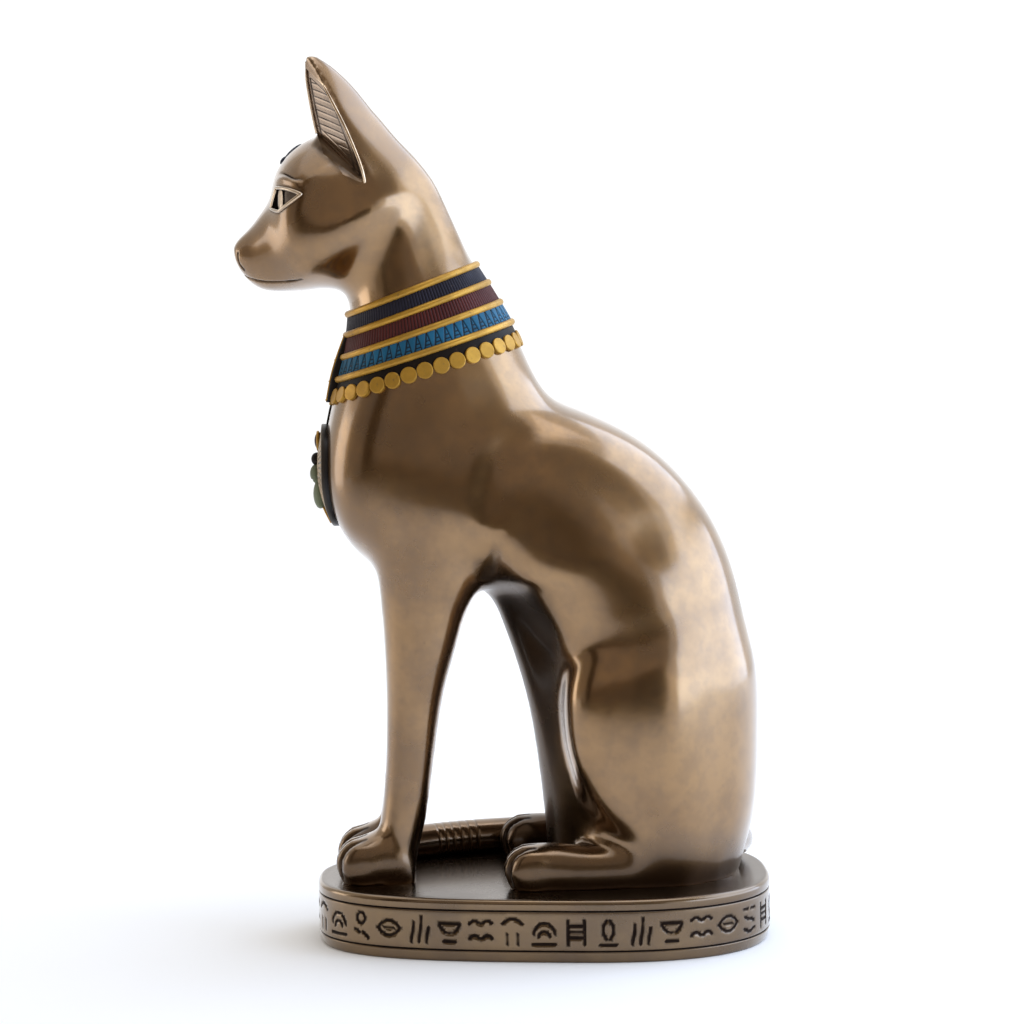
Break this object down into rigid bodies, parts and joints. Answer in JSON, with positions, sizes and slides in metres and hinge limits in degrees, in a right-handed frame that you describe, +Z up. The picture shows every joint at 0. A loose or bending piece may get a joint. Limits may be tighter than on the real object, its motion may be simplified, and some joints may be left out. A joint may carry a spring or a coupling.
{
  "type": "seated cat figure",
  "caption": "Seated bronze-finished cat figure with a painted bead collar and a winged beetle pendant, on an oval plinth.",
  "frame": {"origin": "on the underside of the plinth, midway along the plinth's length and width", "axes": "+Z up; the cat looks towards -X; its left side is -Y"},
  "size_m": [0.1749, 0.0992, 0.2924],
  "materials": {
    "bronze": "satin antique bronze, dark in the recesses and rubbed bright on the edges"
  },
  "bodies": {
    "root": {"bastet_cat_figure": "bronze"}
  },
  "joints": []
}
